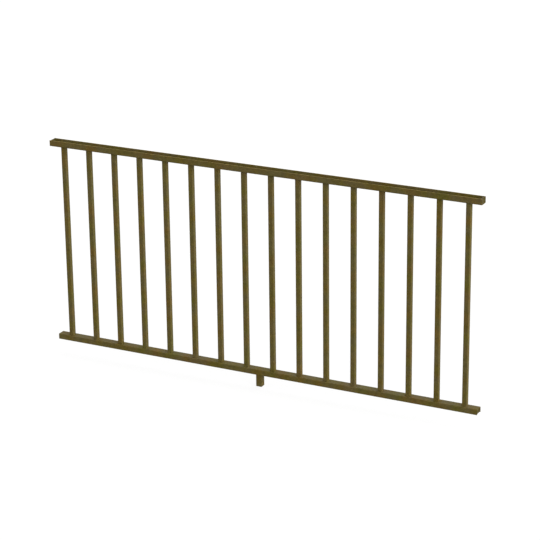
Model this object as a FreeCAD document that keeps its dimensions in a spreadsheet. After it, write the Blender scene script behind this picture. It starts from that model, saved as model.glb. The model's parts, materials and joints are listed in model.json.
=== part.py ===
import FreeCAD
import Part
import Sketcher
import os

# Deck railing section: a flat welded steel panel that hangs between two posts.
# Two rails are bent from strip into U channels. The top rail opens upwards, ready for a cap
# rail, and the bottom rail opens downwards. A plate welded inside each end closes the channel.
# Square tube balusters pass through square holes punched in the channels' webs, and stand a
# little proud inside, where they are welded.
# A short leg with a plastic cap carries the middle of the bottom rail on the deck.
#
# Frame: X runs along the rails, Y through the panel, Z up. The origin is on the deck, under the
# middle of the panel. Sizes are in millimetres.

SIZES = {
    "rail_length": (1828.0, "both rails, end to end: a six foot section"),
    "top_rail_width": (38.0, "outside of the top channel, across the panel"),
    "top_rail_height": (24.0, "outside of the top channel, web to lips"),
    "bottom_rail_width": (36.0, "outside of the bottom channel, across the panel"),
    "bottom_rail_height": (22.0, "outside of the bottom channel, web to lips"),
    "rail_wall": (2.0, "strip that the channels are bent from"),
    "rail_bend": (1.0, "inside radius of the channel's bends"),
    "end_plate": (3.0, "thickness of the plates that close the channels' ends"),
    "end_inset": (3.0, "rail's end to the face of its plate, room for the weld"),
    "end_clearance": (0.25, "between an end plate and the channel, on each side"),
    "panel_height": (842.0, "lips of the bottom rail to lips of the top rail"),
    "deck_gap": (51.0, "deck to the lips of the bottom rail"),
    "baluster_count": (16, "how many balusters share the rails' length evenly"),
    "baluster_margin": (55.25, "rail's end to the middle of the first baluster"),
    "baluster_width": (19.0, "outside of the square tube"),
    "baluster_wall": (1.2, "wall of the square tube"),
    "baluster_bend": (0.8, "inside radius of the tube's corners"),
    "baluster_standout": (2.0, "how far a tube stands past the web, for its weld"),
    "hole_clearance": (0.25, "between a tube and its punched hole, on each side"),
    "leg_width": (25.0, "outside of the leg's square tube"),
    "leg_wall": (2.0, "wall of the leg's tube"),
    "leg_bend": (0.6, "inside radius of the leg's corners"),
    "cap_flange": (5.0, "thickness of the cap under the leg"),
    "cap_edge": (1.5, "chamfer of the cap's lower edge"),
    "cap_spigot": (12.0, "how far the cap reaches up into the leg"),
    "cap_clearance": (0.15, "between the cap's spigot and the leg, on each side"),
}

SHEET_NAME = "Sizes"
OUT_FOLDER = "parts"

# how a sketch numbers the points of a line or arc, and its own axes
LINE_START, LINE_END, CENTRE = range(1, 4)
VERTICAL_AXIS, HORIZONTAL_AXIS = range(-2, 0)
ORIGIN_POINT = (HORIZONTAL_AXIS, LINE_START)
QUARTER = FreeCAD.Units.Quantity("90 deg").getValueAs("rad").Value


def make_sheet(doc):
    sheet = doc.addObject("Spreadsheet::Sheet", SHEET_NAME)
    for row, (alias, (value, note)) in enumerate(SIZES.items(), start=1):
        sheet.set(f"A{row}", alias)
        sheet.set(f"B{row}", str(value))
        sheet.set(f"C{row}", note)
        sheet.setAlias(f"B{row}", alias)
    doc.recompute()
    return sheet


def cell(alias):
    """The expression that reads one size from the sheet."""
    return f"{SHEET_NAME}.{alias}"


def value_of(owner, expression):
    return float(owner.evalExpression(expression))


def origin_feature(body, role):
    return next(f for f in body.Origin.OriginFeatures if f.Role == role)


def new_body(doc, label):
    body = doc.addObject("PartDesign::Body", label)
    body.Label = label
    return body


def new_sketch(body, name, plane):
    sketch = body.newObject("Sketcher::SketchObject", f"{body.Name}_{name}")
    sketch.AttachmentSupport = [(origin_feature(body, plane), "")]
    sketch.MapMode = "FlatFace"
    return sketch


def dimension(sketch, name, expression, kind, *where):
    """Adds a named dimension to a sketch and ties it to the sheet."""
    index = sketch.addConstraint(Sketcher.Constraint(kind, *where, value_of(sketch, expression)))
    sketch.renameConstraint(index, name)
    sketch.setExpression(f"Constraints.{name}", expression)


def line(sketch, x0, y0, x1, y1):
    segment = Part.LineSegment(FreeCAD.Vector(x0, y0, 0), FreeCAD.Vector(x1, y1, 0))
    return sketch.addGeometry(segment, False)


def arc(sketch, x, y, radius, first_quarter):
    """A quarter circle, drawn anticlockwise from that many quarter turns."""
    circle = Part.Circle(FreeCAD.Vector(x, y, 0), FreeCAD.Vector(0, 0, 1), radius)
    start = first_quarter * QUARTER
    return sketch.addGeometry(Part.ArcOfCircle(circle, start, start + QUARTER), False)


def tangent_loop(sketch, pieces):
    """Joins each line or arc smoothly to the next one, and the last to the first."""
    for piece, following in zip(pieces, pieces[1:] + pieces[:1]):
        sketch.addConstraint(Sketcher.Constraint("Tangent", piece, LINE_END, following, LINE_START))


def rounded_square(sketch, name, width, radius):
    """Draws a square with round corners about the sketch's origin. Both sizes are expressions."""
    half = value_of(sketch, width) / 2
    bend = value_of(sketch, radius)
    flat = half - bend
    bottom = line(sketch, -flat, -half, flat, -half)
    corner = arc(sketch, flat, -flat, bend, 3)
    right = line(sketch, half, -flat, half, flat)
    corner_2 = arc(sketch, flat, flat, bend, 0)
    top = line(sketch, flat, half, -flat, half)
    corner_3 = arc(sketch, -flat, flat, bend, 1)
    left = line(sketch, -half, flat, -half, -flat)
    corner_4 = arc(sketch, -flat, -flat, bend, 2)
    tangent_loop(sketch, [bottom, corner, right, corner_2, top, corner_3, left, corner_4])
    for level in (bottom, top):
        sketch.addConstraint(Sketcher.Constraint("Horizontal", level))
    for upright in (left, right):
        sketch.addConstraint(Sketcher.Constraint("Vertical", upright))
    for other in (corner_2, corner_3, corner_4):
        sketch.addConstraint(Sketcher.Constraint("Equal", corner, other))
    sketch.addConstraint(Sketcher.Constraint("Symmetric", corner, CENTRE, corner_3, CENTRE, *ORIGIN_POINT))
    dimension(sketch, f"{name}_width", width, "DistanceX", left, LINE_START, right, LINE_START)
    dimension(sketch, f"{name}_depth", width, "DistanceY", bottom, LINE_START, top, LINE_START)
    dimension(sketch, f"{name}_corner", radius, "Radius", corner)


def channel_section(sketch, rail):
    """Draws a rail's U section with its web on the horizontal axis and its lips upwards."""
    half = value_of(sketch, cell(rail + "_width")) / 2
    height = value_of(sketch, cell(rail + "_height"))
    wall = value_of(sketch, cell("rail_wall"))
    inside = value_of(sketch, cell("rail_bend"))
    outside = inside + wall
    inner = half - wall
    flat = half - outside

    outer_left = line(sketch, -half, height, -half, outside)
    outer_left_bend = arc(sketch, -flat, outside, outside, 2)
    web_outside = line(sketch, -flat, 0, flat, 0)
    outer_right_bend = arc(sketch, flat, outside, outside, 3)
    outer_right = line(sketch, half, outside, half, height)
    right_lip = line(sketch, half, height, inner, height)
    inner_right = line(sketch, inner, height, inner, outside)
    inner_right_bend = arc(sketch, flat, outside, inside, 3)
    web_inside = line(sketch, flat, wall, -flat, wall)
    inner_left_bend = arc(sketch, -flat, outside, inside, 2)
    inner_left = line(sketch, -inner, outside, -inner, height)
    left_lip = line(sketch, -inner, height, -half, height)

    # the outside bends run on from the outer walls, the inside ones against their drawn direction
    smooth_joints = [
        (outer_left, LINE_END, outer_left_bend, LINE_START),
        (outer_left_bend, LINE_END, web_outside, LINE_START),
        (web_outside, LINE_END, outer_right_bend, LINE_START),
        (outer_right_bend, LINE_END, outer_right, LINE_START),
        (inner_right, LINE_END, inner_right_bend, LINE_END),
        (inner_right_bend, LINE_START, web_inside, LINE_START),
        (web_inside, LINE_END, inner_left_bend, LINE_END),
        (inner_left_bend, LINE_START, inner_left, LINE_START),
    ]
    for joint in smooth_joints:
        sketch.addConstraint(Sketcher.Constraint("Tangent", *joint))
    sharp_corners = [
        (outer_right, LINE_END, right_lip, LINE_START),
        (right_lip, LINE_END, inner_right, LINE_START),
        (inner_left, LINE_END, left_lip, LINE_START),
        (left_lip, LINE_END, outer_left, LINE_START),
        (outer_left_bend, CENTRE, inner_left_bend, CENTRE),
        (outer_right_bend, CENTRE, inner_right_bend, CENTRE),
    ]
    for corner in sharp_corners:
        sketch.addConstraint(Sketcher.Constraint("Coincident", *corner))
    for upright in (outer_left, outer_right, inner_left, inner_right):
        sketch.addConstraint(Sketcher.Constraint("Vertical", upright))
    for level in (web_outside, web_inside, right_lip, left_lip):
        sketch.addConstraint(Sketcher.Constraint("Horizontal", level))
    sketch.addConstraint(Sketcher.Constraint("Equal", outer_left_bend, outer_right_bend))
    sketch.addConstraint(
        Sketcher.Constraint("Symmetric", outer_left, LINE_START, outer_right, LINE_END, VERTICAL_AXIS)
    )
    sketch.addConstraint(Sketcher.Constraint("PointOnObject", web_outside, LINE_START, HORIZONTAL_AXIS))
    width = cell(rail + "_width")
    to_lips = cell(rail + "_height")
    dimension(sketch, "width", width, "DistanceX", outer_left, LINE_START, outer_right, LINE_END)
    dimension(sketch, "height", to_lips, "DistanceY", web_outside, LINE_END, outer_right, LINE_END)
    dimension(sketch, "wall", cell("rail_wall"), "DistanceX", left_lip, LINE_END, left_lip, LINE_START)
    dimension(sketch, "bend", cell("rail_bend"), "Radius", inner_left_bend)


def end_outline(sketch, rail):
    """Draws an end plate in its rail's section, level with the lips and clear of the bends."""
    half = value_of(sketch, cell(rail + "_width")) / 2
    wall = value_of(sketch, cell("rail_wall"))
    gap = value_of(sketch, cell("end_clearance"))
    bend = value_of(sketch, cell("rail_bend"))
    height = value_of(sketch, cell(rail + "_height"))
    side = half - wall - gap
    flat = side - bend
    low = wall + gap

    bottom = line(sketch, -flat, low, flat, low)
    right_corner = arc(sketch, flat, low + bend, bend, 3)
    right = line(sketch, side, low + bend, side, height)
    top = line(sketch, side, height, -side, height)
    left = line(sketch, -side, height, -side, low + bend)
    left_corner = arc(sketch, -flat, low + bend, bend, 2)
    smooth = [left, left_corner, bottom, right_corner, right]
    for piece, following in zip(smooth, smooth[1:]):
        sketch.addConstraint(Sketcher.Constraint("Tangent", piece, LINE_END, following, LINE_START))
    sketch.addConstraint(Sketcher.Constraint("Coincident", right, LINE_END, top, LINE_START))
    sketch.addConstraint(Sketcher.Constraint("Coincident", top, LINE_END, left, LINE_START))
    sketch.addConstraint(Sketcher.Constraint("Horizontal", bottom))
    for upright in (left, right):
        sketch.addConstraint(Sketcher.Constraint("Vertical", upright))
    sketch.addConstraint(Sketcher.Constraint("Equal", left_corner, right_corner))
    sketch.addConstraint(
        Sketcher.Constraint("Symmetric", top, LINE_START, top, LINE_END, VERTICAL_AXIS)
    )
    width = f"{cell(rail + '_width')} - 2 * ({cell('rail_wall')} + {cell('end_clearance')})"
    above_web = f"{cell('rail_wall')} + {cell('end_clearance')}"
    to_lips = cell(rail + "_height")
    dimension(sketch, "width", width, "DistanceX", top, LINE_END, top, LINE_START)
    dimension(sketch, "above_web", above_web, "DistanceY", *ORIGIN_POINT, bottom, LINE_START)
    dimension(sketch, "lips", to_lips, "DistanceY", *ORIGIN_POINT, top, LINE_START)
    dimension(sketch, "corner", cell("rail_bend"), "Radius", right_corner)


def pad_up(body, sketch, length):
    pad = body.newObject("PartDesign::Pad", f"{sketch.Name}_pad")
    pad.Profile = sketch
    pad.setExpression("Length", length)
    return pad


def tube_corner(prefix):
    """Outside corner radius of a square tube, as an expression."""
    return f"{cell(prefix + '_bend')} + {cell(prefix + '_wall')}"


def square_tube(doc, label, prefix, length):
    """A square tube that stands on its own origin. prefix names its sizes in the sheet."""
    body = new_body(doc, label)
    section = new_sketch(body, "section", "XY_Plane")
    rounded_square(section, "outside", cell(prefix + "_width"), tube_corner(prefix))
    bore = f"{cell(prefix + '_width')} - 2 * {cell(prefix + '_wall')}"
    rounded_square(section, "bore", bore, cell(prefix + "_bend"))
    pad_up(body, section, length)
    return body


def baluster_pitch(count):
    """Centre to centre, as an expression."""
    return f"({cell('rail_length')} - 2 * {cell('baluster_margin')}) / ({count} - 1)"


def baluster_place(index, count):
    """Where a baluster stands along the rails, as an expression; the row is centred on the panel."""
    return f"({index} - ({count} - 1) / 2) * {baluster_pitch(count)}"


def make_rail(doc, label, count, upside_down, height_above_deck):
    """A channel with one punched hole for each baluster. Its own origin is on the web's outside."""
    body = new_body(doc, label)
    section = new_sketch(body, "section", "YZ_Plane")
    channel_section(section, label)
    channel = body.newObject("PartDesign::Pad", f"{label}_channel")
    channel.Profile = section
    channel.SideType = "Symmetric"
    channel.setExpression("Length", cell("rail_length"))
    doc.recompute()

    hole = new_sketch(body, "hole", "XY_Plane")
    hole.setExpression("AttachmentOffset.Base.x", baluster_place(0, count))
    hole_width = f"{cell('baluster_width')} + 2 * {cell('hole_clearance')}"
    rounded_square(hole, "hole", hole_width, f"{tube_corner('baluster')} + {cell('hole_clearance')}")
    punch = body.newObject("PartDesign::Pocket", f"{label}_punch")
    punch.Profile = hole
    punch.Type = "ThroughAll"
    punch.Reversed = True
    doc.recompute()

    row = body.newObject("PartDesign::LinearPattern", f"{label}_holes")
    row.Originals = [punch]
    row.Direction = (origin_feature(body, "X_Axis"), [""])
    row.Mode = "Spacing"
    row.setExpression("Offset", baluster_pitch(count))
    row.Occurrences = count
    body.Tip = row
    if upside_down:
        body.Placement.Rotation = FreeCAD.Rotation(FreeCAD.Vector(1, 0, 0), 180)
    body.setExpression("Placement.Base.z", height_above_deck)
    doc.recompute()
    check_holes(label, channel, hole, row, count)
    return body


def make_end_plates(doc, rail, upside_down, height_above_deck):
    """The two plates that close a channel, each a little inside the rail's end."""
    plates = []
    from_middle = f"{cell('rail_length')} / 2 - {cell('end_inset')} - {cell('end_plate')} / 2"
    for side, sign in (("left", "-"), ("right", "")):
        label = f"{rail}_{side}_plate"
        body = new_body(doc, label)
        outline = new_sketch(body, "outline", "YZ_Plane")
        end_outline(outline, rail)
        plate = body.newObject("PartDesign::Pad", f"{label}_pad")
        plate.Profile = outline
        plate.SideType = "Symmetric"
        plate.setExpression("Length", cell("end_plate"))
        if upside_down:
            body.Placement.Rotation = FreeCAD.Rotation(FreeCAD.Vector(1, 0, 0), 180)
        body.setExpression("Placement.Base.x", f"{sign}({from_middle})")
        body.setExpression("Placement.Base.z", height_above_deck)
        plates.append(body)
    return plates


def check_holes(label, channel, hole, row, count):
    """Stops the build unless the row of holes took its whole volume out of the web."""
    hole_area = Part.Face(hole.Shape.Wires[0]).Area
    expected = count * hole_area * value_of(row, cell("rail_wall"))
    removed = channel.Shape.Volume - row.Shape.Volume
    if abs(removed - expected) > expected / 1000:
        raise RuntimeError(f"{label}: the holes took {removed} mm3 and not {expected} mm3")


def make_balusters(doc, count):
    """The tubes, from left to right, each through both webs."""
    both_rails = f"{cell('top_rail_height')} + {cell('bottom_rail_height')}"
    clear_height = f"{cell('panel_height')} - ({both_rails})"
    hidden_end = f"{cell('rail_wall')} + {cell('baluster_standout')}"
    foot_of_tube = f"{cell('deck_gap')} + {cell('bottom_rail_height')} - ({hidden_end})"
    tubes = []
    for index in range(count):
        length = f"{clear_height} + 2 * ({hidden_end})"
        tube = square_tube(doc, f"baluster_{index + 1:02d}", "baluster", length)
        tube.setExpression("Placement.Base.x", baluster_place(index, count))
        tube.setExpression("Placement.Base.z", foot_of_tube)
        tubes.append(tube)
    return tubes


def make_leg(doc, place):
    """The leg, from its cap up to the underside of the bottom rail's web."""
    web_underside = f"{cell('deck_gap')} + {cell('bottom_rail_height')} - {cell('rail_wall')}"
    leg = square_tube(doc, "support_leg", "leg", f"{web_underside} - {cell('cap_flange')}")
    leg.setExpression("Placement.Base.x", place)
    leg.setExpression("Placement.Base.z", cell("cap_flange"))
    return leg


def make_cap(doc, place):
    """The plastic cap: a flange under the leg's end and a spigot inside it."""
    cap = new_body(doc, "leg_cap")
    flange_outline = new_sketch(cap, "flange", "XY_Plane")
    rounded_square(flange_outline, "flange", cell("leg_width"), tube_corner("leg"))
    flange = pad_up(cap, flange_outline, cell("cap_flange"))
    doc.recompute()

    chamfer = cap.newObject("PartDesign::Chamfer", "leg_cap_edge")
    faces = flange.Shape.Faces
    lowest = min(range(len(faces)), key=lambda i: faces[i].CenterOfMass.z)
    chamfer.Base = (flange, [f"Face{lowest + 1}"])
    chamfer.setExpression("Size", cell("cap_edge"))
    doc.recompute()

    spigot_outline = new_sketch(cap, "spigot", "XY_Plane")
    bore = f"{cell('leg_width')} - 2 * {cell('leg_wall')}"
    rounded_square(spigot_outline, "spigot", f"{bore} - 2 * {cell('cap_clearance')}", cell("leg_bend"))
    spigot_outline.setExpression("AttachmentOffset.Base.z", cell("cap_flange"))
    spigot = pad_up(cap, spigot_outline, cell("cap_spigot"))
    cap.Tip = spigot
    cap.setExpression("Placement.Base.x", place)
    return cap


def check(doc, bodies):
    """Stops the build if anything failed to compute or isn't one valid solid."""
    for thing in doc.Objects:
        if "Invalid" in thing.State or "Error" in thing.State:
            raise RuntimeError(f"{thing.Label} did not compute: {thing.State}")
    for body in bodies:
        shape = body.Shape
        if shape.isNull() or not shape.isValid() or len(shape.Solids) != 1:
            raise RuntimeError(f"{body.Label} is not one valid solid")


def main():
    doc = FreeCAD.newDocument("deck_railing_section")
    sheet = make_sheet(doc)
    count = round(sheet.get("baluster_count"))
    # the leg stands in the middle bay, between two balusters
    leg_place = baluster_place(count // 2 - 0.5, count)

    web_of_top_rail = f"{cell('deck_gap')} + {cell('panel_height')} - {cell('top_rail_height')}"
    web_of_bottom_rail = f"{cell('deck_gap')} + {cell('bottom_rail_height')}"
    bodies = [
        make_rail(doc, "top_rail", count, False, web_of_top_rail),
        make_rail(doc, "bottom_rail", count, True, web_of_bottom_rail),
        *make_end_plates(doc, "top_rail", False, web_of_top_rail),
        *make_end_plates(doc, "bottom_rail", True, web_of_bottom_rail),
        *make_balusters(doc, count),
        make_leg(doc, leg_place),
        make_cap(doc, leg_place),
    ]
    doc.recompute()
    check(doc, bodies)

    os.makedirs(OUT_FOLDER, exist_ok=True)
    for body in bodies:
        body.Shape.exportStep(os.path.join(OUT_FOLDER, f"{body.Label}.step"))
        print(body.Label, round(body.Shape.Volume), "mm3")


main()
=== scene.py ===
import json
import math

import bpy
from mathutils import Matrix, Vector


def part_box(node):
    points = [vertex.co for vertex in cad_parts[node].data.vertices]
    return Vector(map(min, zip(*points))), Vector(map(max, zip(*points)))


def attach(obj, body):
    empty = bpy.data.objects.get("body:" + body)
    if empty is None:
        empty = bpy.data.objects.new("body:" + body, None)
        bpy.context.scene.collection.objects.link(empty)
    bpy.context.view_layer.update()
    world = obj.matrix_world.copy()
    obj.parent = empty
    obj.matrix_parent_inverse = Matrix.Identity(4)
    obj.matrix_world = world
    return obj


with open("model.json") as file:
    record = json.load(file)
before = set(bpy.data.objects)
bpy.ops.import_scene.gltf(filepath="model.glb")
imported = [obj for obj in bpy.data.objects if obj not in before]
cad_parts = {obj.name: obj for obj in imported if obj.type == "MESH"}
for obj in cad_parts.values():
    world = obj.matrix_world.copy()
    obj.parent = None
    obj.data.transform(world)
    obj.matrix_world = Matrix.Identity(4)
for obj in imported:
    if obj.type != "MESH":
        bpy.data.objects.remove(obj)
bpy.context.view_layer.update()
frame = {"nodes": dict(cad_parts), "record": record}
balusters = sorted(name for name in frame["nodes"] if name.startswith("baluster_"))
print("frame loaded:", len(frame["nodes"]), "nodes,", len(balusters), "balusters")

mm = 0.001  # the scene is in metres
near = 0.01 * mm  # a point this close to a line counts as on it
same = 0.001 * mm  # points closer than this are merged


def paint(hexText):  # sRGB hex, as picked on screen, to the linear colour a shader takes
    channels = [int(hexText[i:i + 2], 16) / 255 for i in (1, 3, 5)]
    linear = [c / 12.92 if c <= 0.04045 else ((c + 0.055) / 1.055) ** 2.4 for c in channels]
    return (*linear, 1.0)


def perMetre(millimetres):  # texture scale that gives a pattern of this real size
    return 1 / (millimetres * mm)


def addNode(tree, kind, inputs=None, stops=None, **settings):  # one node, with its settings and links
    node = tree.nodes.new(kind)
    for name, value in settings.items():
        setattr(node, name, value)
    for socket, value in (inputs or {}).items():
        if isinstance(value, bpy.types.NodeSocket):
            tree.links.new(value, node.inputs[socket])
        else:
            node.inputs[socket].default_value = value
    for i, (position, colour) in enumerate(stops or []):
        elements = node.color_ramp.elements
        element = elements[i] if i < len(elements) else elements.new(position)
        element.position = position
        element.color = colour
    return node


def newMaterial(name):
    material = bpy.data.materials.new(name)
    material.use_nodes = True
    material.node_tree.nodes.clear()
    return material, material.node_tree


def bronzePowderCoat(name, paintedShadeTone=1.0, lip=None):
    # polyester powder baked on steel: satin, with no bare metal; brown, olive and duller patches
    # drift into each other, over a fine grain of fused powder
    # a lip height adds a painted highlight along the lips' top edge
    look = {
        "brown": "#5A4719",
        "bronze": "#554918",
        "olive": "#514B18",
        "hueStops": (0.34, 0.5, 0.66),  # where these three lie in the slow drift
        "dull": "#554C31",  # greyer, where the film has begun to chalk
        "dullShare": 0.6,  # in the middle of a duller patch
        "patch": 70,  # mm, the slow drift from brown to olive
        "chalk": 48,  # mm, the size of the duller patches
        "cloud": 16,  # mm, uneven film thickness
        "cloudTone": (0.82, 1.18),
        "fleck": 4.0,  # mm, pigment flecks; the real ones are about 0.3 mm, too fine to show
        "fleckCore": (0.1, 0.3),  # share of a fleck's size over which it fades
        "fleckTone": 1.16,
        "peel": 5.0,  # mm, orange peel; the real one is about 2 mm, too fine to show
        "grit": 1.1,  # mm, the fused grains; drawn a little coarse, seen only from close by
        "gritTone": (0.84, 1.16),
        "gritShare": 0.5,  # its height beside that of the peel
        "depth": 0.12,  # mm, the relief of both
        "roughness": (0.62, 0.74),
        "lipHighlight": "#867440",  # a painted highlight along the top edge of a lip, where the film is also rubbed thin
        "lipHighlightReach": 0.8,  # mm down from the edge that the painted highlight covers
        "lipHighlightShare": (0.4, 1.0),  # the painted highlight's share in its faintest and brightest stretches
        "swing": (0.3, 0.7),  # the span that a noise mostly fills
        "patchEdge": (0.35, 0.65),  # a narrower one, for patches with a clearer edge
    }
    swingLow, swingHigh = look["swing"]
    edgeLow, edgeHigh = look["patchEdge"]
    material, tree = newMaterial(name)
    place = addNode(tree, "ShaderNodeTexCoord").outputs["Object"]
    patch = addNode(tree, "ShaderNodeTexNoise",
                    {"Vector": place, "Scale": perMetre(look["patch"]), "Detail": 3.0, "Roughness": 0.5})
    drift = [paint(look[hueName]) for hueName in ("brown", "bronze", "olive")]
    hue = addNode(tree, "ShaderNodeValToRGB", {"Fac": patch.outputs["Fac"]},
                  stops=zip(look["hueStops"], drift))
    chalk = addNode(tree, "ShaderNodeTexNoise",
                    {"Vector": place, "Scale": perMetre(look["chalk"]), "Detail": 2.0, "Roughness": 0.5})
    share = addNode(tree, "ShaderNodeMapRange",
                    {"Value": chalk.outputs["Fac"], "From Min": edgeLow, "From Max": edgeHigh,
                     "To Min": 0.0, "To Max": look["dullShare"]})
    pigment = addNode(tree, "ShaderNodeMix",  # its sockets 6 and 7 are the two colours
                      {0: share.outputs["Result"], 6: hue.outputs["Color"], 7: paint(look["dull"])},
                      data_type="RGBA")
    if lip:  # the height of a channel's lips, where they point up and get a painted highlight
        edge = lip - look["lipHighlightReach"] * mm
        faintestHighlight, brightestHighlight = look["lipHighlightShare"]
        height = addNode(tree, "ShaderNodeSeparateXYZ", {"Vector": place})
        highlightBand = addNode(tree, "ShaderNodeMapRange",
                       {"Value": height.outputs["Z"], "From Min": edge, "From Max": (edge + lip) / 2})
        highlightStretch = addNode(tree, "ShaderNodeMapRange",
                          {"Value": patch.outputs["Fac"], "From Min": edgeLow, "From Max": edgeHigh,
                           "To Min": brightestHighlight, "To Max": faintestHighlight})
        paintedHighlight = addNode(tree, "ShaderNodeMath", {0: highlightBand.outputs["Result"], 1: highlightStretch.outputs["Result"]},
                         operation="MULTIPLY")
        # a lighter colour mixed in along the lips' top edge: a painted highlight
        pigment = addNode(tree, "ShaderNodeMix",
                          {0: paintedHighlight.outputs["Value"], 6: pigment.outputs[2], 7: paint(look["lipHighlight"])},
                          data_type="RGBA")
    cloud = addNode(tree, "ShaderNodeTexNoise",
                    {"Vector": place, "Scale": perMetre(look["cloud"]), "Detail": 3.0, "Roughness": 0.6})
    cloudDark, cloudLight = look["cloudTone"]
    # paintedShadeTone scales the whole tone; below 1 it darkens the coat as painted shade
    shade = addNode(tree, "ShaderNodeMapRange",
                    {"Value": cloud.outputs["Fac"], "From Min": swingLow, "From Max": swingHigh,
                     "To Min": cloudDark * paintedShadeTone, "To Max": cloudLight * paintedShadeTone})
    fleck = addNode(tree, "ShaderNodeTexVoronoi", {"Vector": place, "Scale": perMetre(look["fleck"])})
    coreEnd, fleckEnd = look["fleckCore"]
    glint = addNode(tree, "ShaderNodeMapRange",
                    {"Value": fleck.outputs["Distance"], "From Min": coreEnd, "From Max": fleckEnd,
                     "To Min": look["fleckTone"], "To Max": 1.0})
    grit = addNode(tree, "ShaderNodeTexNoise",
                   {"Vector": place, "Scale": perMetre(look["grit"]), "Detail": 2.0, "Roughness": 0.6})
    gritDark, gritLight = look["gritTone"]
    speck = addNode(tree, "ShaderNodeMapRange",
                    {"Value": grit.outputs["Fac"], "From Min": swingLow, "From Max": swingHigh,
                     "To Min": gritDark, "To Max": gritLight})
    patchy = addNode(tree, "ShaderNodeMath", {0: shade.outputs["Result"], 1: glint.outputs["Result"]},
                     operation="MULTIPLY")
    tone = addNode(tree, "ShaderNodeMath", {0: patchy.outputs["Value"], 1: speck.outputs["Result"]},
                   operation="MULTIPLY")
    colour = addNode(tree, "ShaderNodeVectorMath",
                     {0: pigment.outputs[2], "Scale": tone.outputs["Value"]}, operation="SCALE")
    glossy, matt = look["roughness"]
    gloss = addNode(tree, "ShaderNodeMapRange",
                    {"Value": cloud.outputs["Fac"], "From Min": swingLow, "From Max": swingHigh,
                     "To Min": glossy, "To Max": matt})
    peel = addNode(tree, "ShaderNodeTexNoise",
                   {"Vector": place, "Scale": perMetre(look["peel"]), "Detail": 1.0})
    relief = addNode(tree, "ShaderNodeMath",
                     {0: grit.outputs["Fac"], 1: look["gritShare"], 2: peel.outputs["Fac"]},
                     operation="MULTIPLY_ADD")
    bump = addNode(tree, "ShaderNodeBump",
                   {"Height": relief.outputs["Value"], "Strength": 0.5, "Distance": look["depth"] * mm})
    coat = addNode(tree, "ShaderNodeBsdfPrincipled",
                   {"Base Color": colour.outputs["Vector"], "Roughness": gloss.outputs["Result"],
                    "Normal": bump.outputs["Normal"], "IOR": 1.5, "Specular IOR Level": 0.15})
    addNode(tree, "ShaderNodeOutputMaterial", {"Surface": coat.outputs["BSDF"]})
    return material


def mouldedCapPlastic():
    # polyethylene moulded in a spark-eroded tool: matt, an even fine grain, a shade darker than the coat
    look = {
        "dark": "#4A3D22",
        "light": "#544727",
        "flowStops": (0.35, 0.65),  # where these two lie in the flow marks
        "flow": 18,  # mm, faint flow marks from the gate
        "grain": 3.0,  # mm; the real grain is about 0.5 mm, too fine to show
        "depth": 0.1,  # mm, the relief of the grain
        "roughness": (0.55, 0.7),
    }
    material, tree = newMaterial("moulded_polyethylene_cap")
    place = addNode(tree, "ShaderNodeTexCoord").outputs["Object"]
    flow = addNode(tree, "ShaderNodeTexNoise",
                   {"Vector": place, "Scale": perMetre(look["flow"]), "Detail": 2.0, "Distortion": 0.6})
    colour = addNode(tree, "ShaderNodeValToRGB", {"Fac": flow.outputs["Fac"]},
                     stops=zip(look["flowStops"], (paint(look["dark"]), paint(look["light"]))))
    grain = addNode(tree, "ShaderNodeTexVoronoi", {"Vector": place, "Scale": perMetre(look["grain"])},
                    feature="SMOOTH_F1")
    bump = addNode(tree, "ShaderNodeBump",
                   {"Height": grain.outputs["Distance"], "Strength": 0.6, "Distance": look["depth"] * mm})
    glossy, matt = look["roughness"]
    gloss = addNode(tree, "ShaderNodeMapRange",
                    {"Value": flow.outputs["Fac"], "To Min": glossy, "To Max": matt})
    plastic = addNode(tree, "ShaderNodeBsdfPrincipled",
                      {"Base Color": colour.outputs["Color"], "Roughness": gloss.outputs["Result"],
                       "Normal": bump.outputs["Normal"], "IOR": 1.51, "Specular IOR Level": 0.25})
    addNode(tree, "ShaderNodeOutputMaterial", {"Surface": plastic.outputs["BSDF"]})
    return material


coat = bronzePowderCoat("bronze_powder_coat")
# the top rail's coat, with a painted highlight along its lips
lipHighlightCoat = bronzePowderCoat("lip_highlight_bronze_powder_coat", lip=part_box("top_rail")[1].z)
paintedShadeCoat = bronzePowderCoat("painted_shade_bronze_powder_coat", paintedShadeTone=0.62)  # the whole coat darker: painted shade for the recessed end plates and their welds
capPlastic = mouldedCapPlastic()
finishes = {"powder_coated_steel": coat, "cap_plastic": capPlastic}
for subpart in frame["record"]["subparts"]:
    slots = frame["nodes"][subpart["node"]].data.materials
    slots.clear()
    # the top rail takes the coat with the painted highlight on its lips
    if subpart["node"] == "top_rail":
        slots.append(lipHighlightCoat)
    # the end plates take the coat darkened as painted shade for their recess
    elif subpart["node"].endswith("_plate"):
        slots.append(paintedShadeCoat)
    else:
        slots.append(finishes[subpart["material_slot"]])


def pick(piece, test):  # select the vertices that pass the test, in edit mode
    bpy.ops.object.mode_set(mode="OBJECT")
    for part in (piece.data.polygons, piece.data.edges, piece.data.vertices):
        part.foreach_set("select", [False] * len(part))
    for vertex in piece.data.vertices:
        vertex.select = test(vertex.co)
    bpy.ops.object.mode_set(mode="EDIT")
    bpy.ops.mesh.select_mode(type="VERT")


weldBeads = {
    "section": [(-0.1, 1.9), (0.9, 1.7), (1.8, 1.0), (2.5, -0.1), (-0.1, -0.1)],  # mm off the tube and web
    "ripple": 2.0,  # mm from crest to crest
    "crest": 0.4,  # mm that a crest stands proud
    "uneven": 0.12,  # mm, so that no two ripples are alike
    "foot": 0.2,  # mm off the web where the bead runs out smooth
    "brow": 0.1,  # mm under the top that stays smooth
    "cornerSteps": 4,
    "smoothUpTo": 60,  # degrees
    "standout": 2.0,  # mm that a baluster's end stands past the web
    "tubeBend": 2.0,  # mm, outside of a baluster's corners
    "legBend": 2.6,  # mm, outside of the leg's corners
    "seeds": {"top_rail": 3, "bottom_rail": 8, "leg": 5},
}


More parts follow.
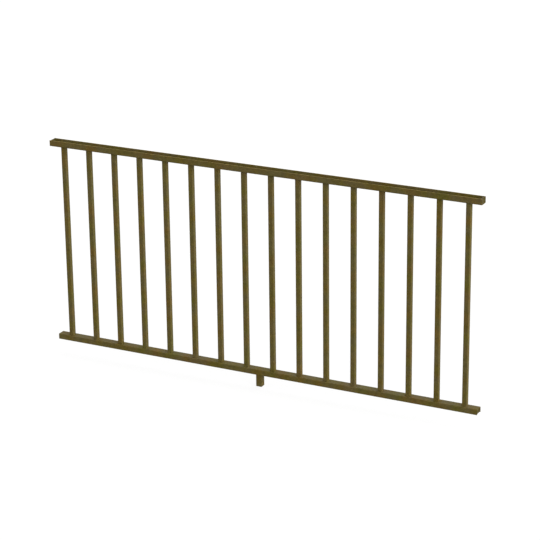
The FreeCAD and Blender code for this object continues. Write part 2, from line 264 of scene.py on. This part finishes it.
def weldBead(width, bend, seed):  # one bead round a square tube, on a web at z = 0, standing up
    section = weldBeads["section"]
    root, top = section[0]
    inner = width / 2 + root * mm
    corner = (bend + root) * mm
    straight = inner - corner
    bpy.ops.object.select_all(action="DESELECT")
    bpy.ops.mesh.primitive_plane_add(size=2 * inner)
    bead = bpy.context.object
    bpy.ops.object.mode_set(mode="EDIT")
    bpy.ops.mesh.select_all(action="SELECT")
    bpy.ops.mesh.bevel(offset=corner, segments=weldBeads["cornerSteps"], affect="VERTICES")
    bpy.ops.mesh.delete(type="ONLY_FACE")  # keeps the outline

    def onSide(co):
        short, long = sorted((abs(co.x), abs(co.y)))
        return short < straight + near and long > inner - near

    pick(bead, onSide)
    step = weldBeads["ripple"] * mm / 2
    cuts = 2 * round(straight / step) - 1
    bpy.ops.mesh.subdivide(number_cuts=cuts)
    bpy.ops.mesh.select_all(action="SELECT")
    bpy.ops.transform.translate(value=(0, 0, top * mm))
    size = inner
    height = top * mm
    for out, up in section[1:]:  # walk round the bead's section
        bpy.ops.mesh.extrude_region()
        grow = (width / 2 + out * mm) / size
        bpy.ops.transform.resize(value=(grow, grow, 1), center_override=(0, 0, 0))
        bpy.ops.transform.translate(value=(0, 0, up * mm - height))
        size = width / 2 + out * mm
        height = up * mm
    bpy.ops.mesh.select_all(action="DESELECT")
    bpy.ops.mesh.select_non_manifold()
    bpy.ops.mesh.bridge_edge_loops()  # closes the bead against the tube
    bpy.ops.mesh.select_all(action="SELECT")
    bpy.ops.mesh.remove_doubles(threshold=same)
    bpy.ops.mesh.normals_make_consistent(inside=False)
    foot = weldBeads["foot"] * mm
    brow = (top - weldBeads["brow"]) * mm
    pitch = 2 * straight / (cuts + 1)

    def onCrest(co):
        short, long = sorted((abs(co.x), abs(co.y)))
        along = short * inner / long
        return foot < co.z < brow and along < straight + near and round(along / pitch) % 2 == 0

    pick(bead, onCrest)
    bpy.ops.transform.shrink_fatten(value=weldBeads["crest"] * mm)
    pick(bead, lambda co: foot < co.z)
    bpy.ops.transform.vertex_random(offset=weldBeads["uneven"] * mm, seed=seed)
    bpy.ops.object.mode_set(mode="OBJECT")
    return bead


endWelds = {
    "section": [(-0.1, 2.3), (0.8, 2.0), (1.7, 1.2), (2.4, -0.1), (-0.1, -0.1)],  # mm off channel and plate
    "fit": 0.25,  # mm between a plate and its channel
    "corner": 1.0,  # mm, the channel's inside bends
    "shortOfLips": 1.5,  # mm
    "tail": 1.0,  # mm at each end of the bead that stays smooth
    "seeds": {"top_rail": 2, "bottom_rail": 6},
}


def endBead(plate, seed):  # one bead round three sides of a plate at z = 0, open towards the lips at y = 0
    section = endWelds["section"]
    low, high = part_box(plate)
    half = (high.y - low.y) / 2 + endWelds["fit"] * mm
    depth = high.z - low.z + (endWelds["fit"] - endWelds["shortOfLips"]) * mm
    inward, top = section[0]
    side = half - inward * mm
    deep = depth - inward * mm
    height = top * mm
    corner = endWelds["corner"] * mm
    bpy.ops.object.select_all(action="DESELECT")
    bpy.ops.mesh.primitive_plane_add(size=1)
    bead = bpy.context.object
    bpy.ops.object.mode_set(mode="EDIT")
    bpy.ops.mesh.select_all(action="SELECT")
    bpy.ops.transform.translate(value=(0, -0.5, 0))  # its far edge comes to y = 0
    bpy.ops.transform.resize(value=(2 * side, deep, 1), center_override=(0, 0, 0))
    pick(bead, lambda co: co.y < -deep / 2)
    bpy.ops.mesh.bevel(offset=corner, segments=weldBeads["cornerSteps"], affect="VERTICES")
    bpy.ops.mesh.select_all(action="SELECT")
    bpy.ops.mesh.delete(type="ONLY_FACE")
    pick(bead, lambda co: co.y > -near)
    bpy.ops.mesh.delete(type="EDGE")  # no weld along the lips
    step = weldBeads["ripple"] * mm / 2
    pick(bead, lambda co: abs(co.x) > side - near)
    bpy.ops.mesh.subdivide(number_cuts=round((deep - corner) / step) - 1)
    pick(bead, lambda co: co.y < -deep + near)
    bpy.ops.mesh.subdivide(number_cuts=round(2 * (side - corner) / step) - 1)
    bpy.ops.mesh.select_all(action="SELECT")
    bpy.ops.transform.translate(value=(0, 0, height))
    for out, up in section[1:] + section[:1]:  # all the way round the bead's section
        bpy.ops.mesh.extrude_region()
        newSide = half - out * mm
        newDeep = depth - out * mm
        bpy.ops.transform.resize(value=(newSide / side, newDeep / deep, 1), center_override=(0, 0, 0))
        bpy.ops.transform.translate(value=(0, 0, up * mm - height))
        side = newSide
        deep = newDeep
        height = up * mm
    bpy.ops.mesh.select_all(action="SELECT")
    bpy.ops.mesh.remove_doubles(threshold=same)
    bpy.ops.mesh.fill_holes(sides=0)  # the two ends of the bead
    bpy.ops.mesh.normals_make_consistent(inside=False)
    foot = weldBeads["foot"] * mm
    brow = (top - weldBeads["brow"]) * mm
    tail = endWelds["tail"] * mm

    def onCrest(co):
        fromSide = half - abs(co.x)
        fromWeb = depth + co.y
        along = co.y * depth / (depth - fromSide) if fromSide < fromWeb else co.x * half / (half - fromWeb)
        return foot < co.z < brow and round(along / step) % 2 == 0

    pick(bead, onCrest)
    bpy.ops.transform.shrink_fatten(value=weldBeads["crest"] * mm)
    pick(bead, lambda co: foot < co.z and co.y < -tail)
    bpy.ops.transform.vertex_random(offset=weldBeads["uneven"] * mm, seed=seed)
    bpy.ops.object.mode_set(mode="OBJECT")
    return bead


def copyBeads(bead, name, places, finish):  # a copy at each place and turn, joined in one piece
    copies = []
    for place, turn in places:
        copy = bead.copy()
        copy.data = bead.data.copy()
        bpy.context.collection.objects.link(copy)
        copy.location = place
        copy.rotation_euler = turn
        copies.append(copy)
    bpy.data.objects.remove(bead)
    bpy.ops.object.select_all(action="DESELECT")
    for copy in copies:
        copy.select_set(True)
    bpy.context.view_layer.objects.active = copies[0]
    if len(copies) > 1:
        bpy.ops.object.join()
    bpy.ops.object.transform_apply(location=True, rotation=True, scale=True)
    piece = copies[0]
    piece.name = name
    piece.data.materials.clear()
    piece.data.materials.append(finish)
    bpy.ops.object.shade_smooth_by_angle(angle=math.radians(weldBeads["smoothUpTo"]))
    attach(piece, "root")
    print(name, "has", len(piece.data.polygons), "faces")


quarterTurn = math.pi / 2
halfTurn = math.pi
tubeLow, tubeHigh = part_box(balusters[0])
legLow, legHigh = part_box("support_leg")
tubeWidth = tubeHigh.x - tubeLow.x
legWidth = legHigh.x - legLow.x
upperWeb = tubeHigh.z - weldBeads["standout"] * mm
lowerWeb = tubeLow.z + weldBeads["standout"] * mm
upperPlaces = []
lowerPlaces = []
for i, baluster in enumerate(balusters):  # each bead is a quarter turn on from the last, so they differ
    low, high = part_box(baluster)
    middle = (low.x + high.x) / 2
    upperPlaces.append(((middle, 0, upperWeb), (0, 0, i * quarterTurn)))
    lowerPlaces.append(((middle, 0, lowerWeb), (halfTurn, 0, i * quarterTurn)))
legPlaces = [((0, 0, legHigh.z), (halfTurn, 0, 0))]
seeds = weldBeads["seeds"]
upperBead = weldBead(tubeWidth, weldBeads["tubeBend"], seeds["top_rail"])
copyBeads(upperBead, "top_rail_welds", upperPlaces, coat)
lowerBead = weldBead(tubeWidth, weldBeads["tubeBend"], seeds["bottom_rail"])
copyBeads(lowerBead, "bottom_rail_welds", lowerPlaces, coat)
legBead = weldBead(legWidth, weldBeads["legBend"], seeds["leg"])
copyBeads(legBead, "leg_weld", legPlaces, coat)

for rail, lipsUp in (("top_rail", 1), ("bottom_rail", -1)):
    endPlaces = []
    for side, outward in (("left", -1), ("right", 1)):
        low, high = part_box(f"{rail}_{side}_plate")
        face = high.x if outward > 0 else low.x
        lips = high.z if lipsUp > 0 else low.z
        lips -= lipsUp * endWelds["shortOfLips"] * mm
        turn = (lipsUp * quarterTurn, 0, lipsUp * outward * quarterTurn)
        endPlaces.append(((face, 0, lips), turn))
    bead = endBead(f"{rail}_left_plate", endWelds["seeds"][rail])
    # the end welds take the same painted shade as the plates
    copyBeads(bead, f"{rail}_end_welds", endPlaces, paintedShadeCoat)

studio = {
    "white": "#FFFFFF",  # the floor and backdrop as the camera sees them
    "floorSize": 60.0,  # m, far past the panel on every side
    "floorBounce": "#5A5958",  # the floor as it lights the panel
    "floorWhite": 0.85,  # share of the floor's look that is plain white; the rest takes light and shadow
    "sky": 0.35,  # strength of the backdrop's light on the panel
    "lampDistance": 4.0,  # m, where a lamp stands in the file; a sun lights the same from anywhere
}
lamps = {  # degrees, as seen from the panel; azimuth 0 is the front and 90 the right end
    "side_key": {"azimuth": 82.0, "elevation": 14.0, "strength": 4.6, "spread": 60.0},
    "front_fill": {"azimuth": 27.0, "elevation": 20.0, "strength": 1.25, "spread": 20.0},
    "left_fill": {"azimuth": 285.0, "elevation": 10.0, "strength": 1.6, "spread": 50.0},
    "back_top": {"azimuth": 165.0, "elevation": 38.0, "strength": 1.8, "spread": 60.0},
}


def seenDirectly(tree):  # 1 for rays that show the backdrop: camera, mirror and glass rays
    ray = addNode(tree, "ShaderNodeLightPath")
    seen = addNode(tree, "ShaderNodeMath",
                   {0: ray.outputs["Is Camera Ray"], 1: ray.outputs["Is Glossy Ray"]}, operation="MAXIMUM")
    return addNode(tree, "ShaderNodeMath",
                   {0: seen.outputs["Value"], 1: ray.outputs["Is Transmission Ray"]},
                   operation="MAXIMUM").outputs["Value"]


def direction(azimuth, elevation):  # from the panel towards a camera or lamp
    turn = math.radians(azimuth)
    rise = math.radians(elevation)
    return Vector((math.sin(turn) * math.cos(rise), -math.cos(turn) * math.cos(rise), math.sin(rise)))


def whiteWorld():
    world = bpy.data.worlds.new("white_studio")
    bpy.context.scene.world = world
    world.use_nodes = True
    tree = world.node_tree
    tree.nodes.clear()
    strength = addNode(tree, "ShaderNodeMapRange",
                       {"Value": seenDirectly(tree), "To Min": studio["sky"], "To Max": 1.0})
    sky = addNode(tree, "ShaderNodeBackground",
                  {"Strength": strength.outputs["Result"], "Color": paint(studio["white"])})
    addNode(tree, "ShaderNodeOutputWorld", {"Surface": sky.outputs["Background"]})


def paleFloor():
    bpy.ops.object.select_all(action="DESELECT")
    bpy.ops.mesh.primitive_plane_add(size=studio["floorSize"])
    floor = bpy.context.object
    floor.name = "studio_floor"
    material, tree = newMaterial("pale_studio_floor")
    seen = seenDirectly(tree)
    colour = addNode(tree, "ShaderNodeValToRGB", {"Fac": seen},
                     stops=[(0.0, paint(studio["floorBounce"])), (1.0, paint(studio["white"]))])
    matt = addNode(tree, "ShaderNodeBsdfDiffuse", {"Color": colour.outputs["Color"]})
    white = addNode(tree, "ShaderNodeEmission", {"Color": paint(studio["white"]), "Strength": 1.0})
    share = addNode(tree, "ShaderNodeMath", {0: seen, 1: studio["floorWhite"]}, operation="MULTIPLY")
    look = addNode(tree, "ShaderNodeMixShader",
                   {0: share.outputs["Value"], 1: matt.outputs["BSDF"], 2: white.outputs["Emission"]})
    addNode(tree, "ShaderNodeOutputMaterial", {"Surface": look.outputs["Shader"]})
    floor.data.materials.append(material)


def softLamps():
    for name, lamp in lamps.items():
        light = bpy.data.lights.new(name, "SUN")
        light.energy = lamp["strength"]
        light.angle = math.radians(lamp["spread"])
        lampObject = bpy.data.objects.new(name, light)
        bpy.context.collection.objects.link(lampObject)
        towards = direction(lamp["azimuth"], lamp["elevation"])
        lampObject.location = towards * studio["lampDistance"]
        lampObject.rotation_euler = towards.to_track_quat("Z", "Y").to_euler()


whiteWorld()
paleFloor()
softLamps()
print("studio lit by", len(lamps), "lamps")

photoView = {
    "azimuth": 27.10,  # degrees round from the front
    "elevation": 19.55,
    "roll": -0.68,
    "distance": 8.004,  # m from the aim
    "aim": (0.0488, 0.0, 0.4876),
    "lens": 139.37,  # mm
    "sensor": 36.0,  # mm
}


def addCamera():
    data = bpy.data.cameras.new("photo_camera")
    data.lens = photoView["lens"]
    data.sensor_width = photoView["sensor"]
    camera = bpy.data.objects.new("photo_camera", data)
    bpy.context.collection.objects.link(camera)
    back = direction(photoView["azimuth"], photoView["elevation"])
    turn = math.radians(photoView["azimuth"])
    roll = math.radians(photoView["roll"])
    right = Vector((math.cos(turn), math.sin(turn), 0))
    up = back.cross(right)
    across = right * math.cos(roll) + up * math.sin(roll)
    upright = up * math.cos(roll) - right * math.sin(roll)
    facing = Matrix((across, upright, back)).transposed().to_4x4()
    stand = Vector(photoView["aim"]) + back * photoView["distance"]
    camera.matrix_world = Matrix.Translation(stand) @ facing
    bpy.context.scene.camera = camera
    print("camera set")


addCamera()
bpy.context.scene.view_settings.view_transform = "Standard"
